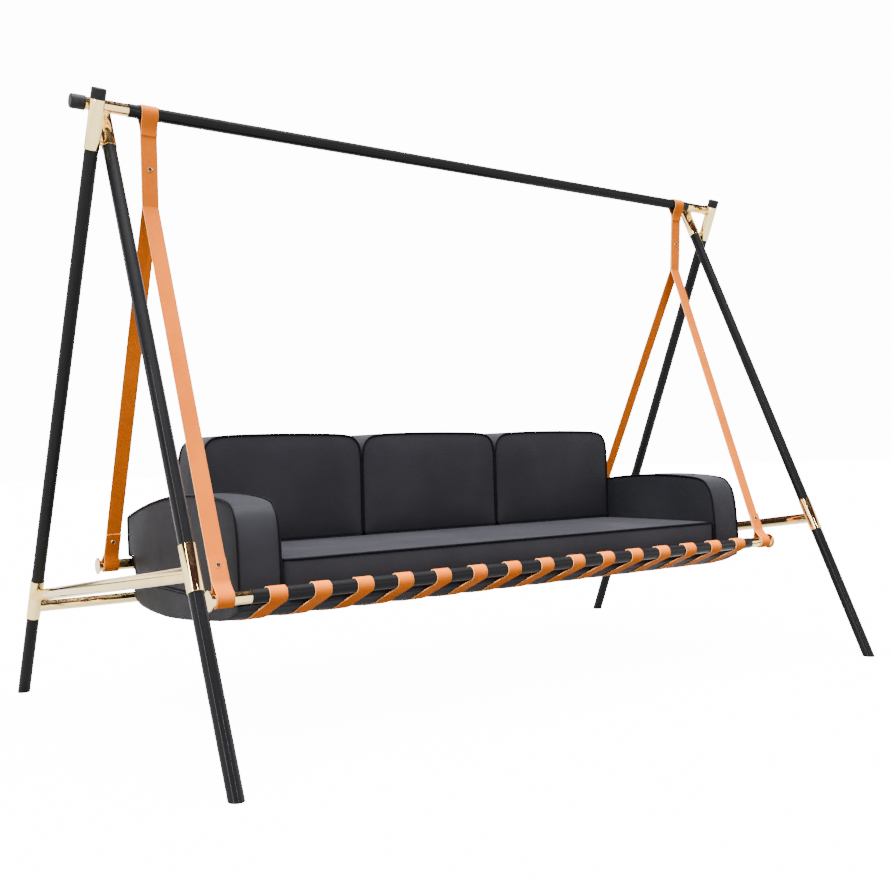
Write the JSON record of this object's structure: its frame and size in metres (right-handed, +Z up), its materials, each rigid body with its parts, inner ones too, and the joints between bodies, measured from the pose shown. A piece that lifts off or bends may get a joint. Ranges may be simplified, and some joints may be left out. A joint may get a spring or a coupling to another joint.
{
  "type": "porch swing",
  "caption": "Three-seat sofa swing: cushions in a leather sling between tube rails, hung by straps from the bar of a crossed-leg tube frame.",
  "frame": {"origin": "on the floor, midway between the four feet, under the middle of the top bar", "axes": "+X along the top bar, to the right of someone facing the seat; +Y towards the back of the seat; +Z up"},
  "size_m": [2.9324, 1.7186, 1.9868],
  "materials": {
    "black_coat": "black powder coat, satin, on steel tube",
    "black_cap": "black moulded plastic, matt",
    "pale_brass": "polished pale brass, lacquered",
    "tan_leather": "natural tan saddle leather, smooth face, pale cut edges",
    "black_upholstery": "smooth charcoal outdoor upholstery over foam, piped seams"
  },
  "bodies": {
    "frame": {"top_bar": "black_coat", "bar_end_left": "pale_brass", "bar_cap_left": "black_cap", "back_leg_left": "black_coat", "back_leg_upper_collar_left": "pale_brass", "back_leg_lower_collar_left": "pale_brass", "front_leg_left": "black_coat", "front_leg_upper_collar_left": "pale_brass", "front_leg_lower_collar_left": "pale_brass", "back_leg_cap_left": "black_cap", "side_crossbar_left": "pale_brass", "bar_end_right": "pale_brass", "bar_cap_right": "black_cap", "back_leg_right": "black_coat", "back_leg_upper_collar_right": "pale_brass", "back_leg_lower_collar_right": "pale_brass", "front_leg_right": "black_coat", "front_leg_upper_collar_right": "pale_brass", "front_leg_lower_collar_right": "pale_brass", "back_leg_cap_right": "black_cap", "side_crossbar_right": "pale_brass", "rear_stretcher": "pale_brass"},
    "seat": {"front_rail": "black_coat", "front_rail_end_left": "pale_brass", "front_strap_left": "tan_leather", "front_stud_left": "pale_brass", "front_rail_end_right": "pale_brass", "front_strap_right": "tan_leather", "front_stud_right": "pale_brass", "back_rail": "black_coat", "back_rail_end_left": "pale_brass", "back_strap_left": "tan_leather", "back_stud_left": "pale_brass", "back_rail_end_right": "pale_brass", "back_strap_right": "tan_leather", "back_stud_right": "pale_brass", "top_stud_left": "pale_brass", "top_stud_right": "pale_brass", "sling_band_01": "tan_leather", "sling_band_02": "tan_leather", "sling_band_03": "tan_leather", "sling_band_04": "tan_leather", "sling_band_05": "tan_leather", "sling_band_06": "tan_leather", "sling_band_07": "tan_leather", "sling_band_08": "tan_leather", "sling_band_09": "tan_leather", "sling_band_10": "tan_leather", "sling_band_11": "tan_leather", "sling_band_12": "tan_leather", "sling_band_13": "tan_leather", "sling_band_14": "tan_leather", "sling_band_15": "tan_leather", "base_pad": "black_upholstery", "seat_cushion": "black_upholstery", "back_cushion_left": "black_upholstery", "back_cushion_middle": "black_upholstery", "back_cushion_right": "black_upholstery", "arm_cushion_left": "black_upholstery", "arm_cushion_right": "black_upholstery"}
  },
  "joints": [
    {"name": "seat_swing", "type": "hinge", "parent": "frame", "child": "seat", "pos_m": [0, 0, 1.95], "axis": [1, 0, 0], "range_deg": [-30, 30]}
  ]
}
